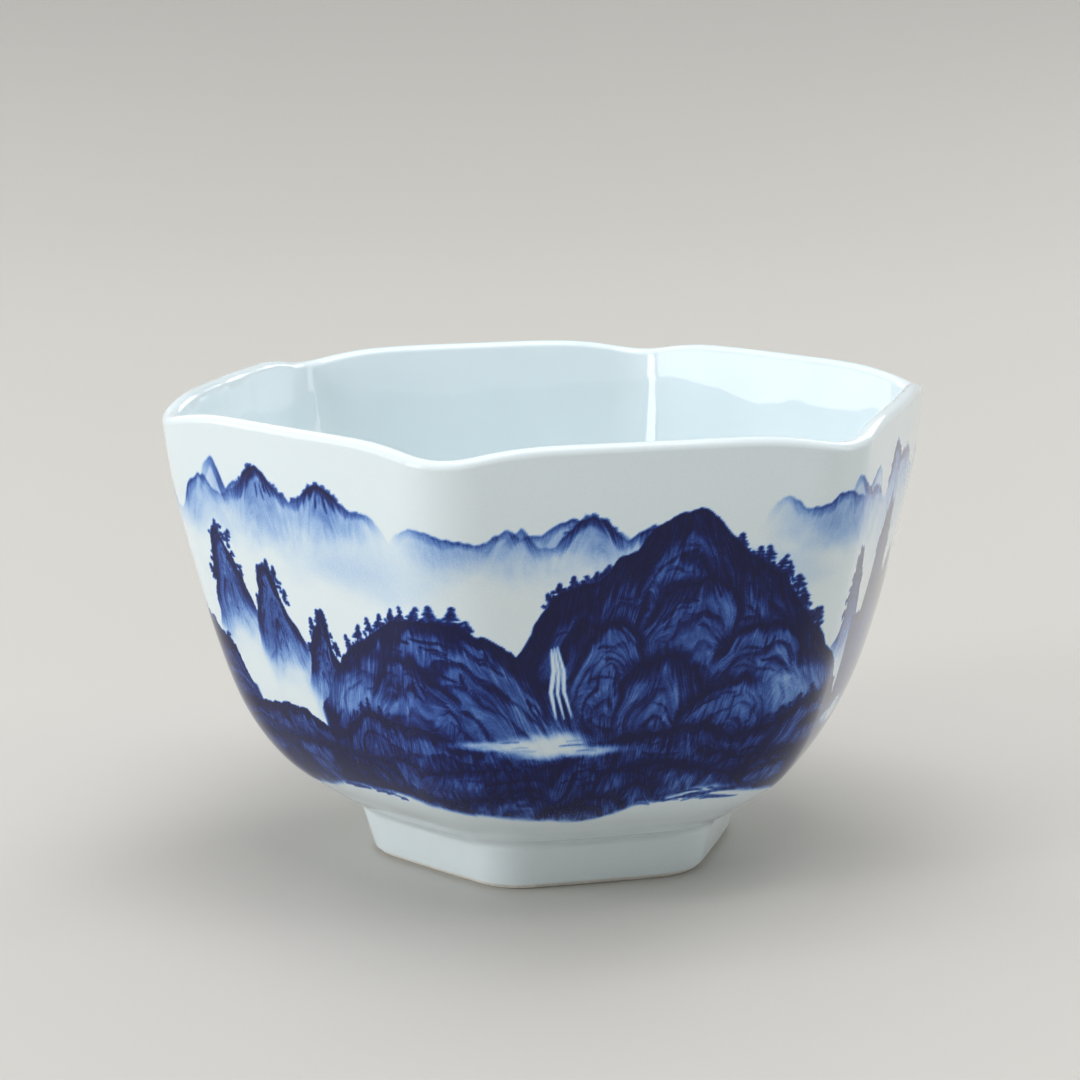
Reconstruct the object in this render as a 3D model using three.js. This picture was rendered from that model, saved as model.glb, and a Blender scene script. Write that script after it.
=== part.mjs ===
// A hexagonal porcelain teacup, in millimetres, +Z up.
// The origin is the middle of the plane that the foot rests on. Corners lie on +X and -X, and a flat
// panel faces -Y. The cup is a porcelain bowl, a foot ring luted on with slip, and three coats of
// glaze that leave only the foot's rim bare. Neighbouring pieces share the same surface points.
import * as THREE from "three";

// Sizes of the glazed cup. "Flat" is the distance from the axis to the middle of a panel.
const HEIGHT = 53.8;
const LIP_FLAT = 40.95;
const LIP_THICKNESS = 1.9;
const LIP_CORNER = 10.5; // radius of the lip's corners, measured outside
const CORNER_DIP = 1.3; // how much lower the lip is at its corners
const CORNER_DIP_REACH = 6.5;
const DIP_START = 34; // below this height the walls are not drawn down at the corners
const PANEL_BOW = THREE.MathUtils.degToRad(4); // half of the angle that a bowed panel turns through
const FOOT_BOW = THREE.MathUtils.degToRad(1.4);
const FOOT_FLAT = 19.3;
const FOOT_TOP_FLAT = 20.75;
const FOOT_TOP = 5.0;
const FOOT_CORNER = 6.8;
const RIM_INNER_FLAT = 17.2;
const RIM_OUTER_FLAT = 18.8;
const RIM_EDGE = 0.35; // height of the rounding on both edges of the rim
const GLAZE_LINE = 0.6; // the glaze stops this far above the table
const GLAZE = 0.25;
const FLOOR = 8.2;
const RECESS_ROOF = 4.6;
const RECESS_FLAT = 16.3;
const RECESS_CORNER = 4.2;

// Facets of one corner, of one panel, and along each stretch of the profile.
const CORNER_STEPS = 4;
const PANEL_STEPS = 4;
const WALL_STEPS = 8;
const LIP_STEPS = 2;
const FILLET_STEPS = 2;
const HEXAGON_HALF_ANGLE = Math.PI / 6;
const ROUND_SHARE = 0.95; // a corner radius as a share of the flat, where the section is round

const point = (flat, z) => new THREE.Vector2(flat, z);

// A station is one ring of the cup: its flat, its height, the radius of its corners and its bow.
const station = (flat, z, corner, bow) => ({ flat, z, corner, bow });

// A section is nearly round close to the axis, and turns into a hexagon towards its edge: the
// corner's share of the flat falls evenly to what it is at the edge.
const cornerRule = (edgeFlat, edgeCorner) => (flat) =>
  flat * THREE.MathUtils.lerp(ROUND_SHARE, edgeCorner / edgeFlat, flat / edgeFlat);

const outerCorner = cornerRule(LIP_FLAT, LIP_CORNER);
const innerCorner = cornerRule(LIP_FLAT - LIP_THICKNESS, LIP_CORNER - LIP_THICKNESS);
const recessCorner = cornerRule(RECESS_FLAT, RECESS_CORNER);
const lipCorner = (flat) => LIP_CORNER - LIP_FLAT + flat;

function stationsAlong(curve, steps, cornerOf, bowOf) {
  return curve
    .getPoints(steps)
    .map((p, i) => station(p.x, p.y, cornerOf(p.x, i / steps), bowOf(i / steps)));
}

const join = (...stretches) =>
  stretches.reduce((all, stretch) => all.concat(all.length ? stretch.slice(1) : stretch), []);

const lipCentre = point(LIP_FLAT - LIP_THICKNESS / 2, HEIGHT - LIP_THICKNESS / 2);

function lipQuarter(from, to) {
  const r = LIP_THICKNESS / 2;
  return new THREE.EllipseCurve(lipCentre.x, lipCentre.y, r, r, from, to);
}

// Outside, from the glaze line on the foot up to the top of the lip.
function outerSkin() {
  const footFace = [
    station(FOOT_FLAT + 0.3, GLAZE_LINE, FOOT_CORNER, FOOT_BOW),
    station(FOOT_TOP_FLAT, FOOT_TOP, FOOT_CORNER, FOOT_BOW),
  ];
  const bowlStart = point(22.8, 6.5);
  const fillet = new THREE.QuadraticBezierCurve(
    point(FOOT_TOP_FLAT, FOOT_TOP),
    point(21.2, 5.9),
    bowlStart,
  );
  const wall = new THREE.SplineCurve([
    bowlStart,
    point(25.5, 8.4),
    point(29.9, 12.2),
    point(33.5, 18.1),
    point(36.2, 26.4),
    point(38.7, 37.4),
    point(40.1, 45.2),
    point(LIP_FLAT, lipCentre.y),
  ]);
  const filletCorner = (flat, t) =>
    THREE.MathUtils.lerp(FOOT_CORNER, outerCorner(bowlStart.x), t);
  const filletBow = (t) => THREE.MathUtils.lerp(FOOT_BOW, PANEL_BOW, t);
  return {
    foot: footFace,
    fillet: stationsAlong(fillet, FILLET_STEPS, filletCorner, filletBow),
    bowl: join(
      stationsAlong(wall, WALL_STEPS, outerCorner, () => PANEL_BOW),
      stationsAlong(lipQuarter(0, Math.PI / 2), LIP_STEPS, lipCorner, () => PANEL_BOW),
    ),
  };
}

// Inside, from the top of the lip down to the middle of the floor.
function innerSkin() {
  const wall = new THREE.SplineCurve([
    point(LIP_FLAT - LIP_THICKNESS, lipCentre.y),
    point(38.1, 45),
    point(36.4, 37),
    point(33.6, 26.4),
    point(30.7, 18.8),
    point(27, 13.5),
    point(21.5, 10),
    point(13, 8.5),
    point(0, FLOOR),
  ]);
  return join(
    stationsAlong(lipQuarter(Math.PI / 2, Math.PI), LIP_STEPS, lipCorner, () => PANEL_BOW),
    stationsAlong(wall, WALL_STEPS + 2, innerCorner, () => PANEL_BOW),
  );
}

// The recess under the cup, from the middle of its roof down to the glaze line inside the foot.
function recessSkin() {
  const edge = point(RECESS_FLAT - 1, RECESS_ROOF);
  const fillet = new THREE.QuadraticBezierCurve(
    edge,
    point(RECESS_FLAT, RECESS_ROOF),
    point(RECESS_FLAT + 0.1, RECESS_ROOF - 0.9),
  );
  const cornerAtEdge = recessCorner(edge.x);
  return {
    roof: [0, 0.5, 1].map((t) =>
      station(edge.x * t, RECESS_ROOF, recessCorner(edge.x * t), FOOT_BOW)),
    fillet: stationsAlong(
      fillet,
      FILLET_STEPS,
      (flat, t) => THREE.MathUtils.lerp(cornerAtEdge, RECESS_CORNER, t),
      () => FOOT_BOW,
    ),
    foot: [
      station(RECESS_FLAT + 0.1, RECESS_ROOF - 0.9, RECESS_CORNER, FOOT_BOW),
      station(RIM_INNER_FLAT - 0.55, GLAZE_LINE, RECESS_CORNER + 0.3, FOOT_BOW),
    ],
  };
}

// The same stations moved into the wall by a depth, square to the profile. The air lies to the
// right of the profile's direction.
function sunk(stations, depth) {
  return stations.map((s, i) => {
    const before = stations[Math.max(i - 1, 0)];
    const after = stations[Math.min(i + 1, stations.length - 1)];
    const onAxis = s.flat === 0;
    const across = onAxis ? 0 : after.z - before.z;
    const up = onAxis ? -Math.sign(after.flat - before.flat) : before.flat - after.flat;
    const length = Math.hypot(across, up);
    const inwards = (depth * across) / length;
    return station(s.flat - inwards, s.z - (depth * up) / length, s.corner - inwards, s.bow);
  });
}

// The outline of one station: a hexagon of bowed panels with round corners, counter-clockwise.
function outline({ flat, corner, bow }) {
  const turn = HEXAGON_HALF_ANGLE - bow;
  const k = Math.sin(bow) / Math.tan(HEXAGON_HALF_ANGLE) - Math.cos(bow);
  const panelRadius = (flat + corner * k) / (1 + k);
  const cornerCentre = ((panelRadius - corner) * Math.sin(bow)) / Math.sin(HEXAGON_HALF_ANGLE);
  const points = [];
  for (let side = 0; side < 6; side++) {
    const cornerAngle = (side * Math.PI) / 3;
    const panelAngle = cornerAngle + HEXAGON_HALF_ANGLE;
    for (let i = 0; i <= CORNER_STEPS; i++) {
      const angle = cornerAngle + turn * ((2 * i) / CORNER_STEPS - 1);
      points.push([
        cornerCentre * Math.cos(cornerAngle) + corner * Math.cos(angle),
        cornerCentre * Math.sin(cornerAngle) + corner * Math.sin(angle),
      ]);
    }
    for (let i = 1; i < PANEL_STEPS; i++) {
      const angle = panelAngle + bow * ((2 * i) / PANEL_STEPS - 1);
      points.push([
        (flat - panelRadius) * Math.cos(panelAngle) + panelRadius * Math.cos(angle),
        (flat - panelRadius) * Math.sin(panelAngle) + panelRadius * Math.sin(angle),
      ]);
    }
  }
  return points;
}

// How far each column of the lip is drawn down: most at a corner, nothing at a panel's middle.
function columnDips() {
  const lip = outline(station(LIP_FLAT, HEIGHT, outerCorner(LIP_FLAT), PANEL_BOW));
  const circumradius = Math.hypot(...lip[CORNER_STEPS / 2]);
  return lip.map(([x, y]) => {
    const nearest = (Math.round(Math.atan2(y, x) / (Math.PI / 3)) * Math.PI) / 3;
    const aside = Math.hypot(
      x - circumradius * Math.cos(nearest),
      y - circumradius * Math.sin(nearest),
    );
    return CORNER_DIP * Math.exp(-((aside / CORNER_DIP_REACH) ** 2));
  });
}

const dips = columnDips();

const warpedHeight = (z, column) =>
  z - dips[column] * THREE.MathUtils.smoothstep(z, DIP_START, HEIGHT);

// A closed body swept round the axis through a closed loop of stations. Each facet is split along
// the diagonal that rises with the column, whichever way the loop runs, so that two pieces which
// share stations share their facets too.
function hexagonalLathe(loop) {
  const columns = dips.length;
  const positions = [];
  const rows = loop.map((s) => {
    const first = positions.length / 3;
    if (s.flat === 0) {
      positions.push(0, 0, s.z);
      return Array(columns).fill(first);
    }
    outline(s).forEach(([x, y], column) => positions.push(x, y, warpedHeight(s.z, column)));
    return dips.map((dip, column) => first + column);
  });
  const index = [];
  const addTriangle = (a, b, c) => {
    if (a !== b && b !== c && c !== a) index.push(a, b, c);
  };
  rows.forEach((row, i) => {
    const after = (i + 1) % rows.length;
    const next = rows[after];
    const rises = loop[after].z > loop[i].z
      || (loop[after].z === loop[i].z && loop[after].flat > loop[i].flat);
    for (let j = 0; j < columns; j++) {
      const right = (j + 1) % columns;
      if (rises) {
        addTriangle(row[j], row[right], next[right]);
        addTriangle(row[j], next[right], next[j]);
      } else {
        addTriangle(row[j], row[right], next[j]);
        addTriangle(row[right], next[right], next[j]);
      }
    }
  });
  const geometry = new THREE.BufferGeometry();
  geometry.setAttribute("position", new THREE.Float32BufferAttribute(positions, 3));
  geometry.setIndex(index);
  geometry.computeVertexNormals();
  return geometry;
}

const reversed = (stations) => [...stations].reverse();

const outer = outerSkin();
const inner = innerSkin();
const recess = recessSkin();
const outerGlazed = join(outer.foot, outer.fillet, outer.bowl);
const recessGlazed = join(recess.roof, recess.fillet, recess.foot);

// The porcelain lies one coat of glaze below those surfaces.
const outerClay = sunk(outerGlazed, GLAZE);
const innerClay = sunk(inner, GLAZE);
const recessClay = sunk(recessGlazed, GLAZE);
// The two coats of the lip meet over one station of the clay.
innerClay[0] = outerClay.at(-1);

const footTopRow = outer.foot.length - 1;
const bowlRow = footTopRow + FILLET_STEPS;
const roofEdgeRow = recess.roof.length - 1;
const recessFootRow = roofEdgeRow + FILLET_STEPS;

const biscuit = new THREE.MeshStandardMaterial({ color: 0xf0efe8, roughness: 0.75 });
const slip = new THREE.MeshStandardMaterial({ color: 0xe9e7de, roughness: 0.8 });
const clearGlaze = new THREE.MeshStandardMaterial({ color: 0xe6eef2, roughness: 0.08 });
const paintedGlaze = new THREE.MeshStandardMaterial({ color: 0x5c78b4, roughness: 0.08 });

function piece(name, material, loop) {
  const mesh = new THREE.Mesh(hexagonalLathe(loop), material);
  mesh.name = name;
  return mesh;
}

// The pressed porcelain bowl: walls, lip and floor, without its foot.
const bowl = () => piece("bowl", biscuit, [
  ...outerClay.slice(bowlRow),
  ...innerClay.slice(1),
  ...recessClay.slice(0, roofEdgeRow + 1),
]);

// The hexagonal ring that the cup stands on. Its flat bottom edge is bare.
function footRing() {
  const bareRim = [
    station(RIM_INNER_FLAT - 0.3, RIM_EDGE, RECESS_CORNER + 0.5, FOOT_BOW),
    station(RIM_INNER_FLAT, 0, RECESS_CORNER + 0.8, FOOT_BOW),
    station(RIM_OUTER_FLAT, 0, FOOT_CORNER - 0.5, FOOT_BOW),
    station(FOOT_FLAT - 0.12, RIM_EDGE, FOOT_CORNER - 0.2, FOOT_BOW),
  ];
  return piece("foot_ring", biscuit, [
    ...recessClay.slice(recessFootRow),
    ...bareRim,
    ...outerClay.slice(0, footTopRow + 1),
  ]);
}

// Slip squeezed between bowl and foot, and smoothed into a fillet on both sides.
const lutingSlip = () => piece("luting_slip", slip, [
  ...recessClay.slice(roofEdgeRow, recessFootRow + 1),
  ...outerClay.slice(footTopRow, bowlRow + 1),
]);

const outerGlaze = () =>
  piece("outer_glaze", paintedGlaze, [...outerGlazed, ...reversed(outerClay)]);

const innerGlaze = () => piece("inner_glaze", clearGlaze, [...inner, ...reversed(innerClay)]);

const baseGlaze = () =>
  piece("base_glaze", clearGlaze, [...recessGlazed, ...reversed(recessClay)]);

const teacup = new THREE.Group();
teacup.add(bowl(), footRing(), lutingSlip(), outerGlaze(), innerGlaze(), baseGlaze());

export default teacup;
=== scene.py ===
"""A hexagonal porcelain teacup with a blue landscape painted under its glaze.

Lengths are in metres. Every surface is swept round the axis from one profile, whose sizes come from
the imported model. A station is one ring of that profile: the distance from the axis to the middle of
a panel ("flat"), the height, the radius of the corners, and half of the angle that a panel bows by.
"""

import math

import bpy
import numpy as np
from mathutils import Matrix, Vector


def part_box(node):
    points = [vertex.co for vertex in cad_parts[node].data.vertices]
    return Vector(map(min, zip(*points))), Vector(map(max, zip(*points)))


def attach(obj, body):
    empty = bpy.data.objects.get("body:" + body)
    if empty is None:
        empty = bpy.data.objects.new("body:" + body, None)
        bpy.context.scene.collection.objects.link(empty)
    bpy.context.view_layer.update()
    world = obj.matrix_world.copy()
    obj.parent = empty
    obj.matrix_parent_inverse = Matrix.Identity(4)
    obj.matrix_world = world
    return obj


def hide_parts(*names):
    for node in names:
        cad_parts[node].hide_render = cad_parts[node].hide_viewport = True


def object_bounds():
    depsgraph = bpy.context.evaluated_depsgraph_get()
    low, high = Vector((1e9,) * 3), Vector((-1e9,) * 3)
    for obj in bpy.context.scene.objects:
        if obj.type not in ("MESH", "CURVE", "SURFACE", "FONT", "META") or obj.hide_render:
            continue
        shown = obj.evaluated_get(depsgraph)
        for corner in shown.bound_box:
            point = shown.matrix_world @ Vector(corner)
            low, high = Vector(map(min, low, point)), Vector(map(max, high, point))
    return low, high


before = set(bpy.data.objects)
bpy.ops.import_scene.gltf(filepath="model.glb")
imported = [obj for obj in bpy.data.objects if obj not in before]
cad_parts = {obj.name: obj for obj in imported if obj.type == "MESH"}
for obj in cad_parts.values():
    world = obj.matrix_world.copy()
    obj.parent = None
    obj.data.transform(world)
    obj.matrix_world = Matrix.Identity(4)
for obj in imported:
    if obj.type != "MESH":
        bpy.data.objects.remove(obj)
cad_low, cad_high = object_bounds()

MM = 0.001

# ---------------------------------------------------------------------------------------------
# Sizes

HEIGHT = cad_high.z
LIP_FLAT = cad_high.y
LIP_THICKNESS = 1.9 * MM
LIP_CORNER = 10.5 * MM
LIP_MIDDLE = LIP_FLAT - LIP_THICKNESS / 2
LIP_CENTRE = HEIGHT - LIP_THICKNESS / 2
CORNER_DIP = 1.3 * MM
CORNER_DIP_REACH = 6.5 * MM
DIP_START = 34 * MM
PANEL_BOW = math.radians(4)
FOOT_BOW = math.radians(1.4)
FOOT_FLAT = 19.3 * MM
FOOT_TOP_FLAT = 20.75 * MM
FOOT_TOP = 5.0 * MM
FOOT_CORNER = 6.8 * MM
RIM_INNER_FLAT = 17.2 * MM
RIM_OUTER_FLAT = 18.8 * MM
RIM_EDGE = 0.35 * MM
GLAZE_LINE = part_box("outer_glaze")[0].z
GLAZE = 0.25 * MM
RECESS_ROOF = 4.6 * MM
RECESS_FLAT = 16.3 * MM
RECESS_CORNER = 4.2 * MM
ROUND_SHARE = 0.95
HEXAGON_HALF_ANGLE = math.pi / 6

# The wall outside from foot to lip, and inside from lip to floor, as (flat, height) in mm.
OUTER_WALL = [(22.8, 6.5), (25.5, 8.4), (29.9, 12.2), (33.5, 18.1), (36.2, 26.4), (38.7, 37.4),
              (40.1, 45.2), (LIP_FLAT / MM, LIP_CENTRE / MM)]
INNER_WALL = [((LIP_FLAT - LIP_THICKNESS) / MM, LIP_CENTRE / MM), (38.1, 45), (36.4, 37),
              (33.6, 26.4), (30.7, 18.8), (27, 13.5), (21.5, 10), (13, 8.5), (0, 8.2)]


# ---------------------------------------------------------------------------------------------
# The profile

def spline(points, count):
    """Catmull-Rom through the points, evenly spaced along its length."""
    p = np.array([points[0], *points, points[-1]], float)
    t = np.linspace(0, 1, 40, endpoint=False)[:, None]
    spans = []
    for a, b, c, d in zip(p, p[1:], p[2:], p[3:], strict=False):
        spans.append(0.5 * (2 * b + (c - a) * t + (2 * a - 5 * b + 4 * c - d) * t**2
                            + (3 * b - a - 3 * c + d) * t**3))
    return evenly(np.vstack([*spans, p[-1:]]), count)


def evenly(path, count):
    steps = np.hypot(*np.diff(path, axis=0).T)
    along = np.concatenate([[0], np.cumsum(steps)])
    wanted = np.linspace(0, along[-1], count)
    return np.column_stack([np.interp(wanted, along, axis) for axis in path.T])


def corner_rule(edge_flat, edge_corner):
    """Nearly round near the axis, more and more a hexagon towards the edge."""
    share = edge_corner / edge_flat
    return lambda flat: flat * (ROUND_SHARE + (share - ROUND_SHARE) * flat / edge_flat)


outer_corner = corner_rule(LIP_FLAT, LIP_CORNER)
inner_corner = corner_rule(LIP_FLAT - LIP_THICKNESS, LIP_CORNER - LIP_THICKNESS)
recess_corner = corner_rule(RECESS_FLAT, RECESS_CORNER)


def stations(path, corner, bow):
    path = np.asarray(path, float)
    ones = np.ones(len(path))
    return np.column_stack([path, corner * ones, bow * ones])


def join(*stretches):
    return np.vstack([stretches[0], *(s[1:] for s in stretches[1:])])


def bezier(a, b, c, count):
    t = np.linspace(0, 1, count)[:, None]
    a, b, c = (np.array(p, float) for p in (a, b, c))
    return a * (1 - t) ** 2 + 2 * b * t * (1 - t) + c * t**2


def lip_arc(start, end, count):
    turn = np.linspace(start, end, count)
    radius = LIP_THICKNESS / 2
    path = np.column_stack([LIP_MIDDLE + radius * np.cos(turn), LIP_CENTRE + radius * np.sin(turn)])
    return stations(path, LIP_CORNER - LIP_FLAT + path[:, 0], PANEL_BOW)


def foot_face(count):
    path = evenly(np.array([[FOOT_FLAT + 0.3 * MM, GLAZE_LINE], [FOOT_TOP_FLAT, FOOT_TOP]]), count)
    return stations(path, FOOT_CORNER, FOOT_BOW)


def foot_fillet(count):
    end = np.array(OUTER_WALL[0]) * MM
    path = bezier((FOOT_TOP_FLAT, FOOT_TOP), (21.2 * MM, 5.9 * MM), end, count)
    share = np.linspace(0, 1, count)
    corner = FOOT_CORNER + (outer_corner(end[0]) - FOOT_CORNER) * share
    return stations(path, corner, FOOT_BOW + (PANEL_BOW - FOOT_BOW) * share)


def wall(points, corner_of, count):
    path = spline(points, count) * MM
    return stations(path, corner_of(path[:, 0]), PANEL_BOW)


def recess(count):
    """The roof of the recess under the cup, its fillet, and the inner face of the foot."""
    edge = RECESS_FLAT - 1 * MM
    roof = evenly(np.array([[0, RECESS_ROOF], [edge, RECESS_ROOF]]), count)
    turn = bezier(roof[-1], (RECESS_FLAT, RECESS_ROOF),
                  (RECESS_FLAT + 0.1 * MM, RECESS_ROOF - 0.9 * MM), count)
    face = evenly(np.array([turn[-1], [RIM_INNER_FLAT - 0.55 * MM, GLAZE_LINE]]), count)
    turn_corner = np.linspace(recess_corner(edge), RECESS_CORNER, count)
    face_corner = np.linspace(RECESS_CORNER, RECESS_CORNER + 0.3 * MM, count)
    return (stations(roof, recess_corner(roof[:, 0]), FOOT_BOW),
            stations(turn, turn_corner, FOOT_BOW),
            stations(face, face_corner, FOOT_BOW))


def sunk(path, depth):
    """The stations moved into the wall. The air lies to the right of the profile's direction."""
    before = np.vstack([path[:1], path[:-1]])
    after = np.vstack([path[1:], path[-1:]])
    across = after[:, 1] - before[:, 1]
    up = before[:, 0] - after[:, 0]
    on_axis = path[:, 0] < 1e-9
    across = np.where(on_axis, 0, across)
    length = np.hypot(across, up)
    moved = path.copy()
    moved[:, 0] -= depth * across / length
    moved[:, 1] -= depth * up / length
    moved[:, 2] -= depth * across / length
    return moved


# ---------------------------------------------------------------------------------------------
# Sweeping the profile round the hexagon

def outline(flat, corner, bow, corner_steps, panel_steps):
    """One station's ring, counter-clockwise from the start of the corner on +X."""
    turn = HEXAGON_HALF_ANGLE - bow
    k = math.sin(bow) / math.tan(HEXAGON_HALF_ANGLE) - math.cos(bow)
    panel_radius = (flat + corner * k) / (1 + k)
    centre = (panel_radius - corner) * math.sin(bow) / math.sin(HEXAGON_HALF_ANGLE)
    rings = []
    for side in range(6):
        corner_angle = side * math.pi / 3
        panel_angle = corner_angle + HEXAGON_HALF_ANGLE
        a = corner_angle + turn * np.linspace(-1, 1, corner_steps + 1)[:-1]
        b = panel_angle + bow * np.linspace(-1, 1, panel_steps + 1)[:-1]
        rings.append(np.column_stack([centre * math.cos(corner_angle) + corner * np.cos(a),
                                      centre * math.sin(corner_angle) + corner * np.sin(a)]))
        rings.append(np.column_stack(
            [(flat - panel_radius) * math.cos(panel_angle) + panel_radius * np.cos(b),
             (flat - panel_radius) * math.sin(panel_angle) + panel_radius * np.sin(b)]))
    return np.vstack(rings)


def smoothstep(x, low, high):
    t = np.clip((x - low) / (high - low), 0, 1)
    return t * t * (3 - 2 * t)


def sweep(path, steps):
    """Positions of every station's ring: an array of rows, columns and 3."""
    lip = outline(LIP_FLAT, LIP_CORNER, PANEL_BOW, *steps)
    around = np.arctan2(lip[:, 1], lip[:, 0])
    nearest = np.round(around / (math.pi / 3)) * math.pi / 3
    reach = np.hypot(*lip[steps[0] // 2])
    aside = np.hypot(lip[:, 0] - reach * np.cos(nearest), lip[:, 1] - reach * np.sin(nearest))
    dip = CORNER_DIP * np.exp(-((aside / CORNER_DIP_REACH) ** 2))
    rows = np.empty((len(path), len(lip), 3))
    for row, (flat, z, corner, bow) in zip(rows, path, strict=True):
        row[:, :2] = outline(flat, corner, bow, *steps)
        row[:, 2] = z - dip * smoothstep(z, DIP_START, HEIGHT)
    return rows


def grid_normals(rows):
    """Unit normals of a swept grid, pointing to the air."""
    along = np.gradient(rows, axis=0)
    around = np.roll(rows, -1, axis=1) - np.roll(rows, 1, axis=1)
    normals = np.cross(around, along)
    length = np.linalg.norm(normals, axis=2, keepdims=True)
    return normals / np.maximum(length, 1e-12)


def build(name, rows, on_axis, normals=None):
    """A closed body from a closed loop of rings. A ring on the axis is a single vertex. Normals, one
    for each vertex of the rings, shade the seams between pieces as one surface."""
    count, columns = rows.shape[:2]
    first = np.concatenate([[0], np.cumsum(np.where(on_axis, 1, columns))])
    keep = np.ones((count, columns), bool)
    keep[on_axis, 1:] = False
    left = np.arange(columns)
    right = (left + 1) % columns
    corners, sizes = [], []
    for i in range(count):
        n = (i + 1) % count
        if on_axis[i] and on_axis[n]:
            continue
        lower = [first[i] + left * (not on_axis[i])]
        upper = [first[n] + left * (not on_axis[n])]
        if not on_axis[i]:
            lower.append(first[i] + right)
        if not on_axis[n]:
            upper.insert(0, first[n] + right)
        faces = np.column_stack(lower + upper)
        corners.append(faces.ravel())
        sizes.append(np.full(columns, faces.shape[1]))
    corners, sizes = np.concatenate(corners), np.concatenate(sizes)
    mesh = bpy.data.meshes.new(name)
    mesh.vertices.add(int(keep.sum()))
    mesh.vertices.foreach_set("co", rows[keep].astype(np.float32).ravel())
    mesh.loops.add(len(corners))
    mesh.loops.foreach_set("vertex_index", corners.astype(np.int32))
    mesh.polygons.add(len(sizes))
    starts = np.concatenate([[0], np.cumsum(sizes)[:-1]])
    mesh.polygons.foreach_set("loop_start", starts.astype(np.int32))
    mesh.update(calc_edges=True)
    mesh.shade_smooth()
    if normals is not None:
        mesh.normals_split_custom_set_from_vertices(normals[keep])
    piece = bpy.data.objects.new(name, mesh)
    bpy.context.scene.collection.objects.link(piece)
    return piece


def coat(name, path, start, stop, back_every, steps):
    """A coat of glaze over stations start to stop of a longer profile, so that its normals run on
    smoothly into the next coat. Its hidden side needs fewer rings."""
    whole = sweep(path, steps)
    skin = whole[start:stop]
    chosen = np.unique(np.append(np.arange(0, stop - start, back_every), stop - start - 1))
    back_path = sunk(path, GLAZE)[start:stop][chosen][::-1]
    back = sweep(back_path, steps)
    normals = grid_normals(whole)[start:stop]
    rows = np.concatenate([skin, back])
    all_normals = np.concatenate([normals, -normals[chosen][::-1]])
    on_axis = np.concatenate([path[start:stop, 0], back_path[:, 0]]) < 1e-9
    on_axis_normal = np.sign(all_normals[on_axis][:, :1, 2:3])
    all_normals[on_axis] = np.concatenate([np.zeros_like(on_axis_normal)] * 2 + [on_axis_normal], 2)
    return build(name, rows, on_axis, all_normals)


def set_painting(piece, canvas):
    """Stores the painting on the coat's skin. The canvas starts in the middle of the corner between the
    front and the left panel, which is the fourth corner on from +X."""
    columns = sum(FINE) * 6
    rings = len(piece.data.vertices) // columns
    first_column = 4 * sum(FINE) + FINE[0] // 2
    for name, values in (("cobalt", canvas.ink), ("hatch_across", canvas.flow[:, :, 0]),
                         ("hatch_down", canvas.flow[:, :, 1])):
        whole = np.zeros((rings, columns), np.float32)
        whole[WALL_START:WALL_START + len(values)] = np.roll(values, first_column, axis=1)
        layer = piece.data.attributes.new(name, "FLOAT", "POINT")
        layer.data.foreach_set("value", whole.ravel())


def unroll(piece, skin_rings):
    """A UV layout: the skin in two strips, one above the other, its hidden side below them."""
    columns = sum(FINE) * 6
    rings = len(piece.data.polygons) // columns
    half = columns // 2
    column = np.arange(columns)
    strip = column // half
    left = (column - strip * half) / half
    right = left + 1 / half
    ring = np.arange(rings)
    hidden = ring >= skin_rings - 1
    hidden_step = 0.03 / (rings - skin_rings + 1)
    low = np.where(hidden, (ring - skin_rings + 1) * hidden_step, ring * 0.47 / (skin_rings - 1))
    high = low + np.where(hidden, hidden_step, 0.47 / (skin_rings - 1))
    base = np.where(hidden[:, None], 0, 0.04 + 0.48 * (1 - strip)[None, :])
    uv = np.empty((rings, columns, 4, 2), np.float32)
    for corner, (u, v) in enumerate(((left, low), (right, low), (right, high), (left, high))):
        uv[:, :, corner, 0] = 0.002 + 0.996 * u
        uv[:, :, corner, 1] = base + v[:, None]
    layer = piece.data.uv_layers.new(name="OFBake")
    layer.uv.foreach_set("vector", uv.ravel())


def body(name, *stretches):
    path = np.vstack(stretches)
    return build(name, sweep(path, MEDIUM), path[:, 0] < 1e-9)


# Columns in one corner and in one panel.
FINE = (48, 180)
MEDIUM = (16, 36)

# The whole profile, from the glaze line on the foot, over the lip, to the middle of the floor.
foot = foot_face(20)
fillet = foot_fillet(16)
outside = wall(OUTER_WALL, outer_corner, 280)
lip_outside = lip_arc(0, math.pi / 2, 16)
lip_inside = lip_arc(math.pi / 2, math.pi, 16)
inside = wall(INNER_WALL, inner_corner, 180)
skin = join(foot, fillet, outside, lip_outside, lip_inside, inside)
clay = sunk(skin, GLAZE)
WALL_START = len(foot) + len(fillet) - 2
CREST = WALL_START + len(outside) + len(lip_outside) - 2
roof, roof_turn, foot_inside = recess(16)
recess_skin = join(roof, roof_turn, foot_inside)
recess_clay = sunk(recess_skin, GLAZE)
ROOF_EDGE = len(roof) - 1
RECESS_FOOT = ROOF_EDGE + len(roof_turn) - 1


def bare_rim():
    """The foot's unglazed edge: flat where it rests, with both sides rounded over."""
    inner = bezier((RIM_INNER_FLAT - 0.3 * MM, RIM_EDGE), (RIM_INNER_FLAT - 0.25 * MM, 0),
                   (RIM_INNER_FLAT, 0), 6)
    outer = bezier((RIM_OUTER_FLAT, 0), (FOOT_FLAT - 0.2 * MM, 0),
                   (FOOT_FLAT - 0.12 * MM, RIM_EDGE), 6)
    return np.vstack([stations(inner, RECESS_CORNER + 0.6 * MM, FOOT_BOW),
                      stations(outer, FOOT_CORNER - 0.4 * MM, FOOT_BOW)])


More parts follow.
